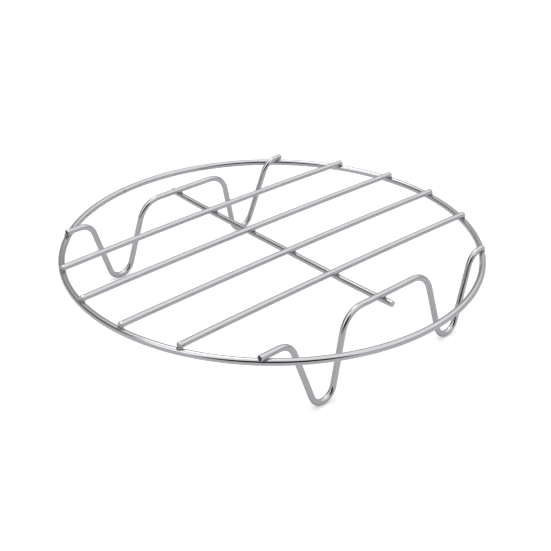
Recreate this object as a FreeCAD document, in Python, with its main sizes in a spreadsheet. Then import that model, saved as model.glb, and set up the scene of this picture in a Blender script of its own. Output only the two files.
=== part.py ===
"""Round wire cooling rack: a rim ring, four crossbars, a brace and two bent leg wires, spot welded.

Frame: X runs along the crossbars, Y along the brace, +Z up. The origin is on the surface that the
feet stand on, under the middle of the rim. Lengths are in millimetres and angles in degrees.
"""
import FreeCAD, Part
import math
import os
import Sketcher
from FreeCAD import Placement, Rotation, Vector

SIZES = {
    # wire stock, one diameter for each kind of wire
    "rim_wire": 3.3,
    "bar_wire": 3.0,
    "brace_wire": 3.0,
    "leg_wire": 3.0,
    # the rim, measured at the middle of its wire, and the gap that its butt weld fills
    "rim_diameter": 208.0,
    "seam_gap": 1.2,
    "seam_swell": 0.1,
    "seam_bearing": 100.0,
    # the crossbars, and how far their cut ends pass the middle of the rim wire
    "bar_pitch": 30.0,
    "bar_overhang": 0.3,
    # the brace: its height above the rim's plane, the lift of its ends and how far they stand free
    "brace_height": 1.25,
    "brace_lift": 0.5,
    "brace_overhang": 6.0,
    # the leg wires: where they cross the rim, how they stand and how they are bent
    "leg_offset": 75.0,
    "leg_shift": 3.0,
    "leg_lean": 4.2,
    "foot_spacing": 85.4,
    "foot_drop": 37.4,
    "foot_bend": 7.0,
    "outer_bend": 9.0,
    "inner_bend": 12.5,
    "outer_slope": 19.5,
    "inner_slope": 15.0,
    # how far each cut end of the leg wires passes the middle of the rim wire: they were cut unevenly
    "front_left_overhang": 2.1,
    "front_right_overhang": 0.2,
    "rear_left_overhang": 0.1,
    "rear_right_overhang": 1.4,
    # the spot welds: how far each wire is pressed into the next, and the melted nugget between them
    "weld_sink": 0.1,
    "nugget_diameter": 3.4,
}
BARS = {"front_outer_bar": -1.5, "front_inner_bar": -0.5, "rear_inner_bar": 0.5, "rear_outer_bar": 1.5}
LEGS = {"front_leg_wire": -1, "rear_leg_wire": 1}
SIDES = {"left": -1, "right": 1}
# Straights and bends along a crossbar or the brace, and along a leg wire.
BOWED_EDGES = 5
LEG_EDGES = 13
# The metal, in cubic millimetres, that a wire and a nugget may still share after the pocket is cut.
POCKET_TOLERANCE = 0.01

doc = FreeCAD.newDocument("cooling_rack")
sheet = doc.addObject("Spreadsheet::Sheet", "sizes")
for row, (name, value) in enumerate(SIZES.items(), start=1):
    sheet.set(f"A{row}", name)
    sheet.set(f"B{row}", str(value))
    sheet.setAlias(f"B{row}", name)
doc.recompute()

# Heights and places that follow from the sheet, as expressions for the objects to be bound to.
RIM_RADIUS = "sizes.rim_diameter / 2"
BAR_SEAT = "((sizes.rim_wire + sizes.bar_wire) / 2 - sizes.weld_sink)"
LEG_SEAT = "((sizes.rim_wire + sizes.leg_wire) / 2 - sizes.weld_sink)"
RIM_HEIGHT = f"(sizes.foot_drop * cos(sizes.leg_lean) + sizes.leg_wire / 2 - {LEG_SEAT})"
RIM_CONTACT = f"({RIM_HEIGHT} + (sizes.rim_wire - sizes.weld_sink) / 2)"
WELD_ZONE = "sizes.nugget_diameter"


def rim_crossing(offset):
    """How far from the Y axis the rim's centre line is, at a distance from the X axis."""
    return f"sqrt(({RIM_RADIUS})^2 - ({offset})^2)"


def cut_end(offset, overhang):
    """How far from the Y axis a wire laid across the rim ends, past the rim's centre line."""
    return f"sqrt(({RIM_RADIUS} + {overhang})^2 - ({offset})^2)"


# How far the brace lifts the crossbars' middles above their ends, and the leg wires' middle flats.
BAR_CROWN = "(sizes.brace_height + (sizes.brace_wire - sizes.rim_wire) / 2)"
LEG_RISE = f"(({BAR_CROWN} + sizes.brace_lift) / cos(sizes.leg_lean))"
BRACE_CONTACT = f"({RIM_HEIGHT} + sizes.brace_height + (sizes.brace_wire - sizes.weld_sink) / 2)"


def new_sketch(body, name, role):
    """An empty sketch lying flat on one of the body's own origin planes."""
    sketch = body.newObject("Sketcher::SketchObject", name)
    plane = next(feature for feature in body.Origin.OriginFeatures if feature.Role == role)
    sketch.AttachmentSupport = [(plane, "")]
    sketch.MapMode = "FlatFace"
    return sketch


def dimension(sketch, name, constraint, expression):
    """Add a named dimension to a sketch and bind it to the sheet."""
    sketch.renameConstraint(sketch.addConstraint(constraint), name)
    sketch.setExpression(f"Constraints.{name}", expression)


def value(expression):
    """The number that an expression on the sheet gives now, to start a sketch's geometry from."""
    return float(sheet.evalExpression(expression))


def wire_section(body, role, width, out="0", up="0"):
    """A sketch of a wire's round section, with its middle at a place given along the sketch's axes."""
    sketch = new_sketch(body, body.Name + "_section", role)
    sketch.addGeometry(Part.Circle(Vector(value(out), value(up), 0), Vector(0, 0, 1), value(width) / 2))
    dimension(sketch, "out", Sketcher.Constraint("DistanceX", -1, 1, 0, 3, value(out)), out)
    dimension(sketch, "up", Sketcher.Constraint("DistanceY", -1, 1, 0, 3, value(up)), up)
    dimension(sketch, "width", Sketcher.Constraint("Diameter", 0, value(width)), width)
    return sketch


def sweep_wire(body, section, path, edges):
    """Run a wire's section along the whole of its path."""
    wire = body.newObject("PartDesign::AdditivePipe", body.Name + "_wire")
    wire.Profile = section
    wire.Spine = (path, [f"Edge{number}" for number in range(1, edges + 1)])


def rolled_ring(name, width, bearing, angle):
    """A round bar rolled about the rim's axis, from a bearing and through an angle."""
    body = doc.addObject("PartDesign::Body", name)
    section = wire_section(body, "XZ_Plane", width, RIM_RADIUS)
    ring = body.newObject("PartDesign::Revolution", name + "_ring")
    ring.Profile = section
    ring.ReferenceAxis = (section, ["V_Axis"])
    ring.setExpression("Angle", angle)
    body.Placement = Placement(Vector(0, 0, 0), Rotation(Vector(0, 0, 1), 1))
    body.setExpression("Placement.Base.z", RIM_HEIGHT)
    body.setExpression("Placement.Rotation.Angle", bearing)
    return body


def side_arc(sketch, side, out, up, radius, start, stop):
    """Draw a bend for the right side, or its mirror image for the left, and give its index."""
    if side < 0:
        start, stop = 180 - stop, 180 - start
    circle = Part.Circle(Vector(side * out, up, 0), Vector(0, 0, 1), radius)
    return sketch.addGeometry(Part.ArcOfCircle(circle, math.radians(start), math.radians(stop)))


def side_line(sketch, side, inner, outer):
    """Draw a straight from its inner to its outer end, mirrored on the left, and give its index."""
    ends = [Vector(side * out, up, 0) for out, up in (inner, outer)]
    return sketch.addGeometry(Part.LineSegment(*ends))


def side_point(sketch, side, out, down, label):
    """A fixed construction point below the path, mirrored on the left, and its index."""
    place = Vector(side * value(out), -value(down), 0)
    point = sketch.addGeometry(Part.Point(place), True)
    across = (-1, 1, point, 1) if side > 0 else (point, 1, -1, 1)
    dimension(sketch, f"{label}_seat", Sketcher.Constraint("DistanceX", *across, value(out)), out)
    below = Sketcher.Constraint("DistanceY", point, 1, -1, 1, value(down))
    dimension(sketch, f"{label}_drop", below, down)
    return point


def bowed_half(sketch, side, flat, seat, drop, half_length):
    """One half of a bowed wire: a shallow bend, then a straight end that lies on its seat."""
    label = "left" if side < 0 else "right"
    start, seat_at, fall, end = value(flat), value(seat), value(drop), value(half_length)
    bend_end = f"{seat} - {WELD_ZONE}"
    run = value(bend_end) - start
    radius = run * (run / 2 + value(WELD_ZONE)) / fall
    slope = math.asin(run / radius)
    bend_fall = radius * (1 - math.cos(slope))
    bend = side_arc(sketch, side, start, -radius, radius, 90 - math.degrees(slope), 90)
    end_fall = bend_fall + (end - value(bend_end)) * math.tan(slope)
    tail = side_line(sketch, side, (value(bend_end), -bend_fall), (end, -end_fall))
    near, far = (2, 1) if side > 0 else (1, 2)
    sketch.addConstraint(Sketcher.Constraint("Tangent", 0, near, bend, near))
    sketch.addConstraint(Sketcher.Constraint("Tangent", bend, far, tail, 1))
    for name, piece, point, expression in (("bend_end", bend, far, bend_end),
                                           ("end", tail, 2, half_length)):
        across = (-1, 1, piece, point) if side > 0 else (piece, point, -1, 1)
        length = Sketcher.Constraint("DistanceX", *across, value(expression))
        dimension(sketch, f"{label}_{name}", length, expression)
    seat_point = side_point(sketch, side, seat, drop, label)
    sketch.addConstraint(Sketcher.Constraint("PointOnObject", seat_point, 1, tail))


def bowed_wire(name, width, flat, seat, drop, half_length):
    """A cut length of wire, straight in the middle and bent down a little to its two seats.

    Its middle is at the body's origin, and each weld lies on a straight stretch.
    """
    body = doc.addObject("PartDesign::Body", name)
    path = new_sketch(body, name + "_path", "XZ_Plane")
    start = value(flat)
    path.addGeometry(Part.LineSegment(Vector(-start, 0, 0), Vector(start, 0, 0)))
    path.addConstraint(Sketcher.Constraint("PointOnObject", 0, 1, -1))
    path.addConstraint(Sketcher.Constraint("Horizontal", 0))
    dimension(path, "left_flat", Sketcher.Constraint("DistanceX", 0, 1, -1, 1, start), flat)
    dimension(path, "right_flat", Sketcher.Constraint("DistanceX", -1, 1, 0, 2, start), flat)
    for side in SIDES.values():
        bowed_half(path, side, flat, seat, drop, half_length)
    sweep_wire(body, wire_section(body, "YZ_Plane", width), path, BOWED_EDGES)
    return body


def crossbar(name, row):
    """A crossbar: its ends lie on the rim and its middle rides over the brace."""
    offset = f"{row} * sizes.bar_pitch"
    ends = cut_end(offset, "sizes.bar_overhang")
    body = bowed_wire(name, "sizes.bar_wire", WELD_ZONE, rim_crossing(offset), BAR_CROWN, ends)
    body.setExpression("Placement.Base.y", offset)
    body.setExpression("Placement.Base.z", f"{RIM_HEIGHT} + {BAR_SEAT} + {BAR_CROWN}")
    return body


def brace(name):
    """The brace: it runs straight under the crossbars, and its ends are lifted to the leg wires.

    The path is drawn bending down, so it is rolled over, and a quarter turn lays it along Y.
    """
    flat = f"{max(BARS.values())} * sizes.bar_pitch + {WELD_ZONE}"
    ends = "sizes.leg_offset + sizes.brace_overhang"
    body = bowed_wire(name, "sizes.brace_wire", flat, "sizes.leg_offset", "sizes.brace_lift", ends)
    rolled_over = Rotation(Vector(1, 0, 0), 180)
    body.Placement = Placement(Vector(0, 0, 0), Rotation(Vector(0, 0, 1), 90) * rolled_over)
    body.setExpression("Placement.Base.z", f"{RIM_HEIGHT} + sizes.brace_height")
    return body


def on_arc(centre, radius, angle):
    """The point on an arc at an angle from its own middle, with 0 along the sketch's X."""
    turn = math.radians(angle)
    return centre[0] + radius * math.cos(turn), centre[1] + radius * math.sin(turn)


def leg_points():
    """The right half of a leg wire's centre line: the middle of each bend and the ends of each strand."""
    rise, drop, foot = value(LEG_RISE), SIZES["foot_drop"], SIZES["foot_bend"]
    outer, inner = SIZES["outer_bend"], SIZES["inner_bend"]
    slope_in, slope_out = SIZES["inner_slope"], SIZES["outer_slope"]
    foot_middle = (SIZES["foot_spacing"] / 2, foot - drop)
    foot_in = on_arc(foot_middle, foot, 180 + slope_in)
    foot_out = on_arc(foot_middle, foot, -slope_out)
    climb_in = rise - inner + inner * math.sin(math.radians(slope_in)) - foot_in[1]
    climb_out = outer * math.sin(math.radians(slope_out)) - outer - foot_out[1]
    top_in = (foot_in[0] - climb_in * math.tan(math.radians(slope_in)), foot_in[1] + climb_in)
    top_out = (foot_out[0] + climb_out * math.tan(math.radians(slope_out)), foot_out[1] + climb_out)
    inner_middle = on_arc(top_in, inner, 180 + slope_in)
    outer_middle = on_arc(top_out, outer, -slope_out)
    return inner_middle, top_in, foot_in, foot_middle, foot_out, top_out, outer_middle


def leg_half(sketch, side, middle, row):
    """One half of a leg wire: inner bend, inner strand, foot, outer strand, outer bend, end flat."""
    label = "left" if side < 0 else "right"
    foot, outer, inner = SIZES["foot_bend"], SIZES["outer_bend"], SIZES["inner_bend"]
    slope_in, slope_out = SIZES["inner_slope"], SIZES["outer_slope"]
    overhang = f"sizes.{row}_{label}_overhang"
    end = f"{cut_end('sizes.leg_offset', overhang)} - {side} * sizes.leg_shift"
    inner_middle, top_in, foot_in, foot_middle, foot_out, top_out, outer_middle = leg_points()

    inner_arc = side_arc(sketch, side, *inner_middle, inner, slope_in, 90)
    inner_line = side_line(sketch, side, top_in, foot_in)
    foot_arc = side_arc(sketch, side, *foot_middle, foot, 180 + slope_in, 360 - slope_out)
    outer_line = side_line(sketch, side, foot_out, top_out)
    outer_arc = side_arc(sketch, side, *outer_middle, outer, 90, 180 - slope_out)
    end_line = side_line(sketch, side, (outer_middle[0], 0), (value(end), 0))

    # From the middle flat outwards, each piece starts at its near end and is left by its far end.
    # A straight is drawn outwards on both sides, and a bend turns the other way on the left.
    straight, turn_down, turn_up = (1, 2), (2, 1), (1, 2)
    if side < 0:
        turn_down, turn_up = turn_up, turn_down
    run = [(inner_arc, turn_down), (inner_line, straight), (foot_arc, turn_up),
           (outer_line, straight), (outer_arc, turn_down), (end_line, straight)]
    before, before_end = middle, 1 if side < 0 else 2
    for piece, (near, far) in run:
        sketch.addConstraint(Sketcher.Constraint("Tangent", before, before_end, piece, near))
        before, before_end = piece, far
    sketch.addConstraint(Sketcher.Constraint("PointOnObject", end_line, 2, -1))

    for name, arc, radius in (("inner_bend", inner_arc, inner), ("foot_bend", foot_arc, foot),
                              ("outer_bend", outer_arc, outer)):
        dimension(sketch, f"{label}_{name}", Sketcher.Constraint("Radius", arc, radius), f"sizes.{name}")
    slopes = (("inner_slope", inner_line, side * slope_in - 90, f"{side} * sizes.inner_slope - 90"),
              ("outer_slope", outer_line, 90 - side * slope_out, f"90 - {side} * sizes.outer_slope"),
              ("end_slope", end_line, 90 - side * 90, f"{90 - side * 90}"))
    for name, line, angle, expression in slopes:
        turn = Sketcher.Constraint("Angle", line, math.radians(angle))
        dimension(sketch, f"{label}_{name}", turn, expression)
    spans = (("foot", foot_arc, 3, foot_middle[0], "sizes.foot_spacing / 2"),
             ("end", end_line, 2, value(end), end))
    for name, piece, point, length, expression in spans:
        across = (-1, 1, piece, point) if side > 0 else (piece, point, -1, 1)
        dimension(sketch, f"{label}_{name}", Sketcher.Constraint("DistanceX", *across, length), expression)
    down = Sketcher.Constraint("DistanceY", foot_arc, 3, -1, 1, -foot_middle[1])
    dimension(sketch, f"{label}_drop", down, "sizes.foot_drop - sizes.foot_bend")


def leg_wire(name, side):
    """A leg wire: its two ends lie on the rim, its middle flat on the brace, and its feet lean out."""
    body = doc.addObject("PartDesign::Body", name)
    path = new_sketch(body, name + "_path", "XZ_Plane")
    rise, half_flat = value(LEG_RISE), leg_points()[0][0]
    flat = Part.LineSegment(Vector(-half_flat, rise, 0), Vector(half_flat, rise, 0))
    middle = path.addGeometry(flat)
    path.addConstraint(Sketcher.Constraint("Horizontal", middle))
    dimension(path, "rise", Sketcher.Constraint("DistanceY", -1, 1, middle, 1, rise), LEG_RISE)
    for half in SIDES.values():
        leg_half(path, half, middle, "front" if side < 0 else "rear")
    sweep_wire(body, wire_section(body, "YZ_Plane", "sizes.leg_wire", "0", LEG_RISE), path, LEG_EDGES)
    body.Placement = Placement(Vector(0, 0, 0), Rotation(Vector(side, 0, 0), 1))
    body.setExpression("Placement.Rotation.Angle", "sizes.leg_lean")
    body.setExpression("Placement.Base.x", "sizes.leg_shift")
    body.setExpression("Placement.Base.y", f"{side} * sizes.leg_offset")
    body.setExpression("Placement.Base.z", f"{RIM_HEIGHT} + {LEG_SEAT}")
    return body


def spot_weld(name, x, y, z):
    """The ball-shaped nugget where two crossing wires have melted together."""
    nugget = doc.addObject("Part::Sphere", name)
    nugget.setExpression("Radius", "sizes.nugget_diameter / 2")
    for axis, place in zip("xyz", (x, y, z)):
        nugget.setExpression(f"Placement.Base.{axis}", place)
    return nugget


def welded(name, blank, nuggets):
    """A wire as it is in the finished rack, with a pocket where each nugget has taken its metal."""
    melted = doc.addObject("Part::Compound", name + "_nuggets")
    melted.Links = nuggets
    wire = doc.addObject("Part::Cut", name)
    wire.Base = blank
    wire.Tool = melted
    return wire


rim_welds, brace_welds, pieces = [], [], []

for name, row in BARS.items():
    offset = f"{row} * sizes.bar_pitch"
    ends = [spot_weld(f"{name}_{label}_weld", f"{side} * {rim_crossing(offset)}", offset, RIM_CONTACT)
            for label, side in SIDES.items()]
    middle = spot_weld(f"{name}_brace_weld", "0", offset, BRACE_CONTACT)
    pieces += [welded(name, crossbar(name + "_blank", row), ends + [middle]), *ends, middle]
    rim_welds += ends
    brace_welds.append(middle)

for name, side in LEGS.items():
    offset = f"{side} * sizes.leg_offset"
    flat = f"{side} * (sizes.leg_offset - {LEG_RISE} * sin(sizes.leg_lean))"
    ends = [spot_weld(f"{name}_{label}_weld", f"{end} * {rim_crossing(offset)}", offset, RIM_CONTACT)
            for label, end in SIDES.items()]
    middle = spot_weld(f"{name}_brace_weld", "0", flat, f"{BRACE_CONTACT} + sizes.brace_lift")
    pieces += [welded(name, leg_wire(name + "_blank", side), ends + [middle]), *ends, middle]
    rim_welds += ends
    brace_welds.append(middle)

SEAM_ANGLE = f"(sizes.seam_gap / ({RIM_RADIUS}) * 180 / pi)"
seam_start = f"sizes.seam_bearing - {SEAM_ANGLE} / 2"
seam_stop = f"sizes.seam_bearing + {SEAM_ANGLE} / 2"
rim_blank = rolled_ring("rim_ring_blank", "sizes.rim_wire", seam_stop, f"360 - {SEAM_ANGLE}")
pieces.append(welded("rim_ring", rim_blank, rim_welds))
pieces.append(rolled_ring("rim_seam_weld", "sizes.rim_wire + 2 * sizes.seam_swell", seam_start, SEAM_ANGLE))
pieces.append(welded("brace_wire", brace("brace_wire_blank"), brace_welds))

doc.recompute()
for item in doc.Objects:
    if "Invalid" in item.State or "Error" in item.State:
        raise RuntimeError(f"{item.Label} did not build: {item.State}")
    if item.isDerivedFrom("Sketcher::SketchObject") and not item.FullyConstrained:
        raise RuntimeError(f"the sketch {item.Label} is not fully constrained")
for piece in pieces:
    sound = not piece.Shape.isNull() and piece.Shape.isValid() and piece.Shape.Volume > 0
    if not sound or len(piece.Shape.Solids) != 1:
        raise RuntimeError(f"{piece.Label} is not one sound solid")
for wire in pieces:
    if wire.isDerivedFrom("Part::Cut"):
        for nugget in wire.Tool.Links:
            if wire.Shape.common(nugget.Shape).Volume > POCKET_TOLERANCE:
                raise RuntimeError(f"{wire.Label} has no pocket for {nugget.Label}")

os.makedirs("parts", exist_ok=True)
for piece in pieces:
    piece.Shape.exportStep(f"parts/{piece.Label}.step")
print(f"wrote {len(pieces)} pieces")
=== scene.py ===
import math
import random

import bmesh
import bpy
from mathutils import Matrix, Vector


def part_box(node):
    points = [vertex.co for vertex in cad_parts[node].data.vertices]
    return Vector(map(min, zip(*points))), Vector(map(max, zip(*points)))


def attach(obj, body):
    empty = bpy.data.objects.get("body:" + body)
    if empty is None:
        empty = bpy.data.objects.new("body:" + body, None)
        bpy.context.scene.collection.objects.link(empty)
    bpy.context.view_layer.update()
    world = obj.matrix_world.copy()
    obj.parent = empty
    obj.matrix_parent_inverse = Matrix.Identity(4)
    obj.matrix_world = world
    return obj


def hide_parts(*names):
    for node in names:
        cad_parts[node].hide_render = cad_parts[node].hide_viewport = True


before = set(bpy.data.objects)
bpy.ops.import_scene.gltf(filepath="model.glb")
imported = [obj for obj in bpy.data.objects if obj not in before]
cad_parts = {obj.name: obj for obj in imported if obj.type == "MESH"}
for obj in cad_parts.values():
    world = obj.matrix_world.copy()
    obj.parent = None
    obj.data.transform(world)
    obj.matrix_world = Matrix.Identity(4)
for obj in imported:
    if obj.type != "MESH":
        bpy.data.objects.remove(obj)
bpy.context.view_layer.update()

# ---------------------------------------------------------------------------------------------
# The camera: a long lens looking down on the rack from its front left corner, over the brace's
# near end. It stands on the line from the rim's middle, and the rim is a little off the centre.
# ---------------------------------------------------------------------------------------------

rim_low, rim_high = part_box("rim_ring")
RIM_HEIGHT = (rim_low.z + rim_high.z) / 2
VIEW_AZIMUTH, VIEW_ELEVATION, VIEW_ROLL = math.radians(-42.52), math.radians(29.49), math.radians(0.37)
VIEW_DISTANCE, VIEW_RIGHT, VIEW_UP = 0.5405, 0.0016, -0.0151
LENS, SENSOR = 70.5, 36.0


def view_axes():
    """The camera's right, up and backward directions."""
    flat, height = math.cos(VIEW_ELEVATION), math.sin(VIEW_ELEVATION)
    back = Vector((math.sin(VIEW_AZIMUTH) * flat, -math.cos(VIEW_AZIMUTH) * flat, height))
    right = Vector((0, 0, 1)).cross(back).normalized()
    up = back.cross(right)
    cos, sin = math.cos(VIEW_ROLL), math.sin(VIEW_ROLL)
    return right * cos + up * sin, up * cos - right * sin, back


right, up, back = view_axes()
camera_data = bpy.data.cameras.new("camera")
camera_data.lens = LENS
camera_data.sensor_width = SENSOR
camera_data.clip_start = 0.01
camera = bpy.data.objects.new("camera", camera_data)
bpy.context.scene.collection.objects.link(camera)
camera_place = Vector((0, 0, RIM_HEIGHT)) + back * VIEW_DISTANCE + right * VIEW_RIGHT + up * VIEW_UP
camera.matrix_world = Matrix.Translation(camera_place) @ Matrix((right, up, back)).transposed().to_4x4()
bpy.context.scene.camera = camera

# ---------------------------------------------------------------------------------------------
# Drawn stainless wire: bright, pulled through a die, so fine lines run along it. It is tinted by
# heat and dulled beside each weld. The pattern follows the wire as if it were straight.
# ---------------------------------------------------------------------------------------------


class Socket:
    """A shader value that can be used in Python sums."""

    def __init__(self, finish, socket):
        self.finish, self.socket = finish, socket

    def _math(self, operation, first, second):
        return self.finish.node("ShaderNodeMath", {"operation": operation}, [first, second])

    def __add__(self, other):
        return self._math("ADD", self, other)

    def __radd__(self, other):
        return self._math("ADD", other, self)

    def __rsub__(self, other):
        return self._math("SUBTRACT", other, self)

    def __mul__(self, other):
        return self._math("MULTIPLY", self, other)

    def __rmul__(self, other):
        return self._math("MULTIPLY", other, self)


class Finish:
    """A node tree with one method that adds any node and one that mixes two colours."""

    def __init__(self, tree):
        self.tree = tree
        tree.nodes.clear()

    def node(self, kind, settings=None, inputs=(), output=0):
        made = self.tree.nodes.new(kind)
        for name, value in (settings or {}).items():
            setattr(made, name, value)
        pairs = inputs.items() if isinstance(inputs, dict) else enumerate(inputs)
        for key, value in pairs:
            if isinstance(value, Socket):
                self.tree.links.new(value.socket, made.inputs[key])
            elif value is not None:
                made.inputs[key].default_value = value
        return Socket(self, made.outputs[output]) if len(made.outputs) else None

    def mix(self, factor, first, second):
        made = self.tree.nodes.new("ShaderNodeMix")
        made.data_type = "RGBA"
        for key, value in ((0, factor), (6, first), (7, second)):
            if isinstance(value, Socket):
                self.tree.links.new(value.socket, made.inputs[key])
            else:
                made.inputs[key].default_value = value
        return Socket(self, made.outputs[2])


def new_finish(name):
    """A new material and its empty node tree."""
    material = bpy.data.materials.new(name)
    material.use_nodes = True
    return material, Finish(material.node_tree)


STEEL = (0.68, 0.67, 0.69, 1)
STEEL_SHADE = (0.55, 0.54, 0.565, 1)
STRAW = (0.30, 0.27, 0.20, 1)
BRIGHT_CUT_DARKS, BRIGHT_CUT_LIGHTS = (0.42, 0.41, 0.42, 1), (0.90, 0.89, 0.90, 1)

# Noise cells per metre, across the wire and along it, and the depth of the relief in metres.
LINE_SCALE = (6000, 6000, 60)
MARK_SCALE = (400, 400, 90)
CUT_GRAIN_SCALE = 2600.0
LINE_BUMP = {"Strength": 0.12, "Distance": 0.00002}
CUT_BUMP = {"Strength": 0.5, "Distance": 0.00006}

# Roughness where a finish is smoothest, and what the lines, marks, stain or grain add to it.
WIRE_ROUGHNESS, LINE_ROUGHNESS, MARK_ROUGHNESS, STAIN_ROUGHNESS = 0.07, 0.07, 0.05, 0.2
CUT_ROUGHNESS, CUT_GRAIN_ROUGHNESS = 0.3, 0.2

# How the marks break up the heat, and the heat at which a stain starts and at which it is full.
STAIN_BASE, STAIN_BREAKUP = 0.6, 0.8
STAIN_START, STAIN_FULL = 0.25, 0.95
STAIN_DEPTH = 0.75


def drawn_wire_finish(name):
    """Bright wire with drawing lines, faint handling marks and a heat tint beside its welds."""
    material, finish = new_finish(name)
    straight = finish.node("ShaderNodeAttribute", {"attribute_name": "straight"}, output=1)
    heat = finish.node("ShaderNodeAttribute", {"attribute_name": "heat"}, output=2)
    along = finish.node("ShaderNodeMapping", {}, {"Vector": straight, "Scale": LINE_SCALE})
    lines = finish.node("ShaderNodeTexNoise", {}, {"Vector": along, "Scale": 1.0, "Detail": 3.0})
    marks = finish.node("ShaderNodeMapping", {}, {"Vector": straight, "Scale": MARK_SCALE})
    cloud = finish.node("ShaderNodeTexNoise", {}, {"Vector": marks, "Scale": 1.0, "Detail": 4.0})
    stain = finish.node("ShaderNodeMapRange", {}, {
        "Value": heat * (STAIN_BASE + STAIN_BREAKUP * cloud), 1: STAIN_START, 2: STAIN_FULL})
    steel = finish.mix(cloud, STEEL, STEEL_SHADE)
    colour = finish.mix(STAIN_DEPTH * stain, steel, STRAW)
    roughness = WIRE_ROUGHNESS + LINE_ROUGHNESS * lines + MARK_ROUGHNESS * cloud + STAIN_ROUGHNESS * stain
    bump = finish.node("ShaderNodeBump", {}, {"Height": lines, **LINE_BUMP})
    surface = finish.node("ShaderNodeBsdfPrincipled", {}, {
        "Base Color": colour, "Metallic": 1.0, "Roughness": roughness, "Normal": bump})
    finish.node("ShaderNodeOutputMaterial", {}, [surface])
    return material


def cut_face_finish(name, dark, bright):
    """A sheared wire end: rougher than the drawn side, and torn into a fine grain."""
    material, finish = new_finish(name)
    place = finish.node("ShaderNodeTexCoord", {}, output=3)
    grain = finish.node("ShaderNodeTexNoise", {}, {
        "Vector": place, "Scale": CUT_GRAIN_SCALE, "Detail": 4.0})
    colour = finish.mix(grain, dark, bright)
    bump = finish.node("ShaderNodeBump", {}, {"Height": grain, **CUT_BUMP})
    surface = finish.node("ShaderNodeBsdfPrincipled", {}, {
        "Base Color": colour, "Metallic": 1.0, "Roughness": CUT_ROUGHNESS + CUT_GRAIN_ROUGHNESS * grain,
        "Normal": bump})
    finish.node("ShaderNodeOutputMaterial", {}, [surface])
    return material


wire_finish = drawn_wire_finish("drawn_stainless_wire")
cut_finish = cut_face_finish("sheared_wire_end", BRIGHT_CUT_DARKS, BRIGHT_CUT_LIGHTS)

# ---------------------------------------------------------------------------------------------
# How a wire is made: it is fed out in short steps, straight or round a bend, and cut square at
# both ends with a small burr rolled over. Each step keeps its place along the straight wire.
# ---------------------------------------------------------------------------------------------

AROUND = 28
STEP = 0.0015
CUT_ROUND = 0.00022
CUT_ROUND_STEPS = 3


class Wire:
    """A wire that is fed out from its cut end, kept as a mesh and the loop at its open end."""

    def __init__(self, radius, start, heading, side):
        self.mesh = bmesh.new()
        self.place = self.mesh.verts.layers.float_vector.new("straight")
        self.along = 0.0
        self.at, self.heading, self.side = Vector(start), Vector(heading), Vector(side)
        upward = self.heading.cross(self.side)
        turned = Matrix((self.side, upward, self.heading)).transposed().to_4x4()
        matrix = Matrix.Translation(self.at) @ turned
        circle = bmesh.ops.create_circle(self.mesh, cap_ends=True, segments=AROUND, radius=radius,
                                         matrix=matrix)
        self.ring = circle["verts"]
        for vert in self.ring:
            out = vert.co - self.at
            vert[self.place] = (out.dot(self.side), out.dot(upward), 0.0)
        self.edges = list(self.mesh.edges)

    def _fed(self, made, length):
        self.along += length
        self.ring = [item for item in made if isinstance(item, bmesh.types.BMVert)]
        for vert in self.ring:
            across = vert[self.place]
            vert[self.place] = (across[0], across[1], self.along)
        self.edges = [item for item in made if isinstance(item, bmesh.types.BMEdge)]

    def straight(self, length):
        """Feed a straight length."""
        steps = max(1, round(length / STEP))
        for _ in range(steps):
            made = bmesh.ops.extrude_edge_only(self.mesh, edges=self.edges)["geom"]
            move = self.heading * (length / steps)
            verts = [item for item in made if isinstance(item, bmesh.types.BMVert)]
            bmesh.ops.translate(self.mesh, verts=verts, vec=move)
            self._fed(made, length / steps)
        self.at += self.heading * length
        return self

    def bend(self, radius, angle):
        """Feed round a bend about the wire's side axis: a positive angle turns to its left."""
        steps = max(2, round(radius * abs(angle) / STEP))
        turn = math.copysign(1, angle)
        centre = self.at + self.side.cross(self.heading) * (radius * turn)
        for _ in range(steps):
            made = bmesh.ops.spin(self.mesh, geom=self.edges, cent=centre, axis=self.side,
                                  angle=angle / steps, steps=1)["geom_last"]
            self._fed(made, radius * abs(angle) / steps)
        spun = Matrix.Rotation(angle, 3, self.side)
        self.at = centre + spun @ (self.at - centre)
        self.heading = spun @ self.heading
        return self

    def cut(self):
        """Close the open end and roll over both cut edges."""
        bmesh.ops.contextual_create(self.mesh, geom=self.edges)
        caps = [face for face in self.mesh.faces if len(face.verts) == AROUND]
        rims = [edge for face in caps for edge in face.edges]
        bmesh.ops.bevel(self.mesh, geom=rims, offset=CUT_ROUND, segments=CUT_ROUND_STEPS, profile=0.5,
                        affect="EDGES", material=-1)
        bmesh.ops.recalc_face_normals(self.mesh, faces=self.mesh.faces)
        for face in self.mesh.faces:
            is_cap = len(face.verts) == AROUND
            face.material_index, face.smooth = int(is_cap), not is_cap
        return self.mesh


SPOT_WELDS = [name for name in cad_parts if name.endswith("_weld") and name != "rim_seam_weld"]
WELD_PLACES = [sum(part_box(name), Vector()) / 2 for name in SPOT_WELDS]
HEAT_REACH = 0.0042


def warmed(mesh):
    """Write how near each point of a wire is to a weld, from 0 far away to 1 at the weld."""
    heat = mesh.verts.layers.float.new("heat")
    for vert in mesh.verts:
        near = min((vert.co - place).length for place in WELD_PLACES)
        vert[heat] = max(0.0, 1 - near / HEAT_REACH)


def place_piece(mesh, name, materials, node):
    """Make an object of a finished mesh, put its materials on and let it ride with the rack."""
    data = bpy.data.meshes.new(name)
    mesh.to_mesh(data)
    mesh.free()
    for material in materials:
        data.materials.append(material)
    piece = bpy.data.objects.new(name, data)
    bpy.context.scene.collection.objects.link(piece)
    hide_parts(node)
    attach(piece, "root")


def place_wire(mesh, name, node, ends=cut_finish):
    """Place a wire in the drawn finish, with its own finish on the cut ends."""
    warmed(mesh)
    place_piece(mesh, name, [wire_finish, ends], node)


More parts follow.
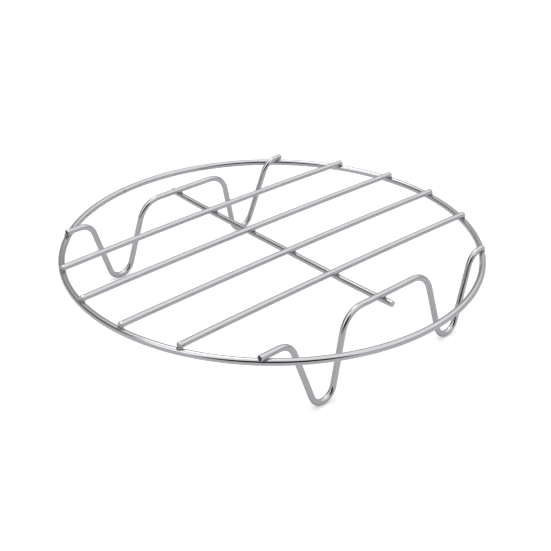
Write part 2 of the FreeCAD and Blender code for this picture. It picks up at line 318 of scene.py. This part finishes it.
# ---------------------------------------------------------------------------------------------
# Rim ring: one length of wire rolled into a circle, open by a narrow gap at the rear. The band
# that fills the gap is placed with the welds, a tenth of a millimetre proud of the wire.
# ---------------------------------------------------------------------------------------------

RIM_WIRE = (rim_high.z - rim_low.z) / 2
RIM_RADIUS = (rim_high.x - rim_low.x) / 2 - RIM_WIRE
seam_low, seam_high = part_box("rim_seam_weld")
SEAM = (seam_low + seam_high) / 2
SEAM_BEARING = math.atan2(SEAM.y, SEAM.x)
SEAM_GAP = 0.0012
SEAM_SWELL = 0.0001


def rolled_wire(radius, bearing, angle):
    """A wire rolled round the rim's axis from a bearing and through an angle."""
    start = Vector((math.cos(bearing), math.sin(bearing), 0)) * RIM_RADIUS + Vector((0, 0, RIM_HEIGHT))
    heading = Vector((-math.sin(bearing), math.cos(bearing), 0))
    return Wire(radius, start, heading, (0, 0, 1)).bend(RIM_RADIUS, angle)


seam_half = SEAM_GAP / RIM_RADIUS / 2
rim = rolled_wire(RIM_WIRE, SEAM_BEARING + seam_half, math.tau - 2 * seam_half).cut()
place_wire(rim, "rolled_rim", "rim_ring")

# ---------------------------------------------------------------------------------------------
# Crossbars: four cut lengths laid across the rim. The brace lifts their middles about a
# millimetre, so each is straight where it is welded and bows gently in between.
# ---------------------------------------------------------------------------------------------

WELD_ZONE = 0.0034
WELD_SINK = 0.0001
CROSSBARS = ("front_outer_bar", "front_inner_bar", "rear_inner_bar", "rear_outer_bar")


def bowed_wire(radius, middle, along, side, flat, seat, drop, ends):
    """A wire with a straight middle, bent a little so that it falls by drop at its two seats."""
    run = seat - WELD_ZONE - flat
    bend_radius = run * (run / 2 + WELD_ZONE) / abs(drop)
    slope = math.copysign(math.asin(run / bend_radius), drop)
    tail = (ends - seat + WELD_ZONE) / math.cos(slope)
    fall = math.copysign(bend_radius * (1 - math.cos(slope)), drop) + tail * math.sin(slope)
    along, upright = Vector(along), Vector((0, 0, 1))
    start = Vector(middle) - along * ends - upright * fall
    wire = Wire(radius, start, along * math.cos(slope) + upright * math.sin(slope), side)
    wire.straight(tail).bend(bend_radius, slope).straight(2 * flat).bend(bend_radius, slope)
    return wire.straight(tail).cut()


def wire_radius(node, axis):
    """Half a CAD wire's width across the axis that it doesn't run along."""
    low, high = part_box(node)
    return (high[axis] - low[axis]) / 2


for node in CROSSBARS:
    low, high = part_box(node)
    bar_wire = wire_radius(node, 1)
    bar_offset, bar_middle = (low.y + high.y) / 2, high.z - bar_wire
    bar_seat = RIM_HEIGHT + RIM_WIRE + bar_wire - WELD_SINK
    bar = bowed_wire(bar_wire, (0, bar_offset, bar_middle), (1, 0, 0), (0, 1, 0), WELD_ZONE,
                     math.sqrt(RIM_RADIUS ** 2 - bar_offset ** 2), bar_middle - bar_seat, high.x)
    place_wire(bar, node.replace("bar", "crossbar"), node)

# ---------------------------------------------------------------------------------------------
# Brace: one wire under the middles of the crossbars. It is straight between the outer two, and
# its ends are lifted a little to meet the leg wires and stand free past them.
# ---------------------------------------------------------------------------------------------

LEG_OFFSET = 0.075
BRACE_LIFT = 0.0005
low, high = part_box("brace_wire")
brace_wire = wire_radius("brace_wire", 0)
BRACE_HEIGHT = low.z + brace_wire
outer_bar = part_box("rear_outer_bar")
outer_offset = (outer_bar[0].y + outer_bar[1].y) / 2
brace = bowed_wire(brace_wire, (0, 0, BRACE_HEIGHT), (0, 1, 0), (-1, 0, 0), outer_offset + WELD_ZONE,
                   LEG_OFFSET, -BRACE_LIFT, high.y)
place_wire(brace, "under_brace", "brace_wire")

# ---------------------------------------------------------------------------------------------
# Leg wires: each is one wire with two V-shaped feet. Its ends are welded on top of the rim and
# its middle flat on top of the brace, and it leans outwards from there to its feet.
# ---------------------------------------------------------------------------------------------

LEG_SHIFT = 0.003
LEG_LEAN = math.radians(4.2)
SHOULDER_SPACING, FOOT_DROP = 0.1345, 0.0374
FOOT_BEND, OUTER_BEND, INNER_BEND = 0.007, 0.009, 0.0125
OUTER_SLOPE, INNER_SLOPE = math.radians(19.5), math.radians(15)


def strand_length(height, bends, slope):
    """The straight between two bends whose radii add up to bends, over a height in all."""
    return (height - bends * (1 - math.sin(slope))) / math.cos(slope)


def leg_wire(node, side):
    """Bend one leg wire flat, from its left end to its right, then lean it and put it in place."""
    low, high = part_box(node)
    radius = (high.z - BRACE_HEIGHT - BRACE_LIFT - brace_wire + WELD_SINK) / 2
    seat = RIM_HEIGHT + RIM_WIRE + radius - WELD_SINK
    rise = (high.z - radius - seat) / math.cos(LEG_LEAN)
    inner = strand_length(rise + FOOT_DROP, INNER_BEND + FOOT_BEND, INNER_SLOPE)
    outer = strand_length(FOOT_DROP, OUTER_BEND + FOOT_BEND, OUTER_SLOPE)
    in_reach = (INNER_BEND + FOOT_BEND) * math.cos(INNER_SLOPE) + inner * math.sin(INNER_SLOPE)
    out_reach = (OUTER_BEND + FOOT_BEND) * math.cos(OUTER_SLOPE) + outer * math.sin(OUTER_SLOPE)
    flat = SHOULDER_SPACING - 2 * (in_reach + out_reach)
    left_end = LEG_SHIFT - SHOULDER_SPACING / 2 - low.x
    right_end = high.x - LEG_SHIFT - SHOULDER_SPACING / 2
    quarter = math.pi / 2
    outer_turn, inner_turn = quarter - OUTER_SLOPE, quarter - INNER_SLOPE
    foot_turn = outer_turn + inner_turn

    wire = Wire(radius, (low.x - LEG_SHIFT, 0, 0), (1, 0, 0), (0, 1, 0))
    wire.straight(left_end).bend(OUTER_BEND, outer_turn).straight(outer).bend(FOOT_BEND, -foot_turn)
    wire.straight(inner).bend(INNER_BEND, inner_turn).straight(flat).bend(INNER_BEND, inner_turn)
    wire.straight(inner).bend(FOOT_BEND, -foot_turn).straight(outer).bend(OUTER_BEND, outer_turn)
    mesh = wire.straight(right_end).cut()
    lean = Matrix.Rotation(side * LEG_LEAN, 3, "X")
    bmesh.ops.rotate(mesh, verts=mesh.verts, cent=(0, 0, 0), matrix=lean)
    bmesh.ops.translate(mesh, verts=mesh.verts, vec=(LEG_SHIFT, side * LEG_OFFSET, seat))
    return mesh


# Painted shade: the leg wires' cut ends get a near-black copy of the cut-end finish. It stands in for the
# shade that falls on these end faces, not for a colour of the metal.
SHADED_END_DARKS, SHADED_END_LIGHTS = (0.03, 0.028, 0.03, 1), (0.16, 0.155, 0.16, 1)
painted_shade_end_finish = cut_face_finish("painted_shade_wire_end", SHADED_END_DARKS, SHADED_END_LIGHTS)
for node, side in (("front_leg_wire", -1), ("rear_leg_wire", 1)):
    place_wire(leg_wire(node, side), node.replace("leg_wire", "legs"), node, painted_shade_end_finish)

# ---------------------------------------------------------------------------------------------
# Spot welds: where two wires cross they are pressed and melted together, which squeezes out a
# flat, uneven bead of duller metal. The butt weld on the rim is a narrow rounded band.
# ---------------------------------------------------------------------------------------------

BEAD_WIDTH, BEAD_DEPTH = 0.00145, 0.0008
BEAD_SWELL = 0.00005
BEAD_LOBES = (2, 3, 4)
BEAD_FINENESS = 4
BEAD_DARKS, BEAD_LIGHTS = (0.17, 0.165, 0.155, 1), (0.42, 0.41, 0.40, 1)
PATCH_SCALE, PIT_SCALE = 900.0, 4200.0
PIT_BUMP = {"Strength": 0.4, "Distance": 0.00005}
BEAD_ROUGHNESS, PATCH_ROUGHNESS = 0.30, 0.25


def weld_finish(name):
    """Metal that has melted and cooled: duller, brown and grey in patches, slightly pitted."""
    material, finish = new_finish(name)
    place = finish.node("ShaderNodeTexCoord", {}, output=3)
    patches = finish.node("ShaderNodeTexNoise", {}, {
        "Vector": place, "Scale": PATCH_SCALE, "Detail": 3.0})
    pits = finish.node("ShaderNodeTexNoise", {}, {"Vector": place, "Scale": PIT_SCALE, "Detail": 3.0})
    colour = finish.mix(patches, BEAD_DARKS, BEAD_LIGHTS)
    bump = finish.node("ShaderNodeBump", {}, {"Height": pits, **PIT_BUMP})
    surface = finish.node("ShaderNodeBsdfPrincipled", {}, {
        "Base Color": colour, "Metallic": 1.0, "Roughness": BEAD_ROUGHNESS + PATCH_ROUGHNESS * patches,
        "Normal": bump})
    finish.node("ShaderNodeOutputMaterial", {}, [surface])
    return material


bead_finish = weld_finish("spot_weld_metal")
draw = random.Random(7)
for node, place in zip(SPOT_WELDS, WELD_PLACES):
    bead = bmesh.new()
    bmesh.ops.create_icosphere(bead, subdivisions=BEAD_FINENESS, radius=1.0)
    phases = [draw.uniform(0, math.tau) for _ in BEAD_LOBES]
    for vert in bead.verts:
        bearing = math.atan2(vert.co.y, vert.co.x)
        waves = [math.sin(lobe * bearing + phase) for lobe, phase in zip(BEAD_LOBES, phases)]
        stretch = 1 + sum(waves) / len(waves) * BEAD_SWELL / BEAD_WIDTH
        width = BEAD_WIDTH * stretch
        vert.co = Vector((vert.co.x * width, vert.co.y * width, vert.co.z * BEAD_DEPTH))
    bmesh.ops.translate(bead, verts=bead.verts, vec=place)
    for face in bead.faces:
        face.smooth = True
    place_piece(bead, node.replace("_weld", "_bead"), [bead_finish], node)

band = rolled_wire(RIM_WIRE + SEAM_SWELL, SEAM_BEARING - seam_half, 2 * seam_half).cut()
warmed(band)
place_piece(band, "rim_seam_band", [wire_finish, bead_finish], "rim_seam_weld")

# ---------------------------------------------------------------------------------------------
# The studio: a white table in a grey room that brightens overhead, with a dark doorway, a dimmer
# back wall and corner and a bright panel for the wires to reflect, and one soft light above.
# ---------------------------------------------------------------------------------------------

TABLE_HALF = 4.0

# The table is greyer in the wires' reflections than where it is seen, so they stand out against it.
TABLE_REFLECTED, TABLE_SEEN = (0.74, 0.73, 0.75, 1), (0.93, 0.93, 0.93, 1)
GLOW_REFLECTED, GLOW_SEEN = (0, 0, 0, 1), (0.34, 0.34, 0.34, 1)

# Each patch's azimuth and elevation, then the angles at which it stops being full and ends.
DOORWAY = (230, 16, 28, 44)
BACK_WALL = (75, 0, 36, 58)
CORNER = (130, 30, 9, 26)
SIDE_PANEL = (182, 35, 10, 30)

# The room's own brightness, what is added overhead and on the panel, and what the dark patches take.
ROOM_LIGHT, TENT_LIGHT, PANEL_LIGHT = 0.50, 0.62, 0.45
DOORWAY_SHADE, WALL_SHADE, CORNER_SHADE = 0.97, 0.45, 0.8
TENT_START, TENT_FULL = 0.15, 0.68
SOFT_BOX_PLACE, SOFT_BOX_SIZE, SOFT_BOX_POWER = (0.2, 0.6, 1.3), 0.5, 1.6

table = bmesh.new()
bmesh.ops.create_grid(table, x_segments=1, y_segments=1, size=TABLE_HALF)
table_data = bpy.data.meshes.new("table")
table.to_mesh(table_data)
table.free()
floor = bpy.data.objects.new("table", table_data)
bpy.context.scene.collection.objects.link(floor)
table_material, table_finish = new_finish("white_table")
seen = table_finish.node("ShaderNodeLightPath", {}, output=0)
paint = table_finish.mix(seen, TABLE_REFLECTED, TABLE_SEEN)
glow = table_finish.mix(seen, GLOW_REFLECTED, GLOW_SEEN)
matt = table_finish.node("ShaderNodeBsdfPrincipled", {}, {
    "Base Color": paint, "Roughness": 0.9, "Specular IOR Level": 0.1, "Emission Color": glow,
    "Emission Strength": 1.0})
table_finish.node("ShaderNodeOutputMaterial", {}, [matt])
table_data.materials.append(table_material)

world = bpy.data.worlds.new("studio_room")
world.use_nodes = True
bpy.context.scene.world = world
room = Finish(world.node_tree)
direction = room.node("ShaderNodeTexCoord", {}, output=0)


def towards(azimuth, elevation):
    """The direction at an azimuth in degrees from +X towards +Y, and an elevation."""
    flat = math.cos(math.radians(elevation))
    turn = math.radians(azimuth)
    return flat * math.cos(turn), flat * math.sin(turn), math.sin(math.radians(elevation))


def patch(azimuth, elevation, core, edge):
    """How deep a direction is in a round patch of the room: 1 inside core degrees, 0 past edge."""
    near = room.node("ShaderNodeVectorMath", {"operation": "DOT_PRODUCT"},
                     [direction, towards(azimuth, elevation)], output=1)
    return room.node("ShaderNodeMapRange", {"interpolation_type": "SMOOTHSTEP"}, {
        "Value": near, 1: math.cos(math.radians(edge)), 2: math.cos(math.radians(core))})


height = room.node("ShaderNodeSeparateXYZ", {}, [direction], output=2)
tent = room.node("ShaderNodeMapRange", {"interpolation_type": "SMOOTHSTEP"}, {
    "Value": height, 1: TENT_START, 2: TENT_FULL})
lit = ROOM_LIGHT + TENT_LIGHT * tent + PANEL_LIGHT * patch(*SIDE_PANEL)
strength = lit * (1 - DOORWAY_SHADE * patch(*DOORWAY)) * (1 - WALL_SHADE * patch(*BACK_WALL))
strength = strength * (1 - CORNER_SHADE * patch(*CORNER))
background = room.node("ShaderNodeBackground", {}, {"Color": (1, 1, 1, 1), "Strength": strength})
room.node("ShaderNodeOutputWorld", {}, [background])


def soft_light(name, place, aim, size, power):
    """A square soft box that faces a point."""
    data = bpy.data.lights.new(name, "AREA")
    data.shape = "SQUARE"
    data.size = size
    data.energy = power
    light = bpy.data.objects.new(name, data)
    light.location = place
    light.rotation_euler = (Vector(aim) - Vector(place)).to_track_quat("-Z", "Y").to_euler()
    bpy.context.scene.collection.objects.link(light)


soft_light("overhead_soft_box", SOFT_BOX_PLACE, (0, 0, 0), SOFT_BOX_SIZE, SOFT_BOX_POWER)

bpy.context.scene.view_settings.view_transform = "Standard"
